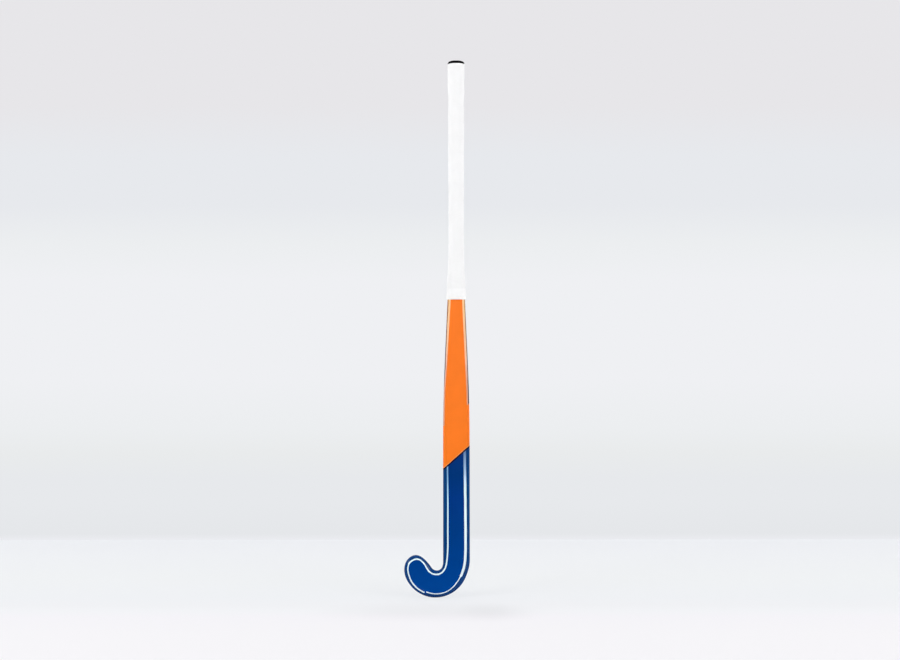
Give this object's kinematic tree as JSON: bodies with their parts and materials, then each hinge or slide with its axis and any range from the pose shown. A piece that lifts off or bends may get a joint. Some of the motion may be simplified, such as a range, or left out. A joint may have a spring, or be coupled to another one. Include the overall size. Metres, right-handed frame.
{
  "type": "indoor hockey stick",
  "caption": "Slim composite indoor hockey stick with a flat-faced curved hook, a gently bowed shaft, a wound white grip and a rubber end cap.",
  "frame": {"origin": "middle of the underside of the stick's box, with the stick upright on the lowest point of its hook", "axes": "+Z along the straight handle, up to the end cap; -Y the way the flat playing face looks; -X the way the hook turns"},
  "size_m": [0.1132, 0.056, 0.9271],
  "materials": {
    "lacquered_shell": "fibre laminate under gloss lacquer, blue at the head with white lines, orange above a slanted line",
    "core_foam": "rigid foam",
    "inner_laminate": "bare fibre laminate",
    "plug_plastic": "moulded plastic",
    "cap_rubber": "matt black rubber",
    "band_tape": "cloth build-up tape",
    "grip_ribbon": "white cushioned polyurethane ribbon, softly textured",
    "end_tape": "smooth white tape"
  },
  "bodies": {
    "root": {"stick_shell": "lacquered_shell", "head_core": "core_foam", "left_inner_tube": "inner_laminate", "right_inner_tube": "inner_laminate", "handle_plug": "plug_plastic", "butt_cap": "cap_rubber", "pommel_band": "band_tape", "grip_tape": "grip_ribbon", "finishing_tape": "end_tape"}
  },
  "joints": []
}
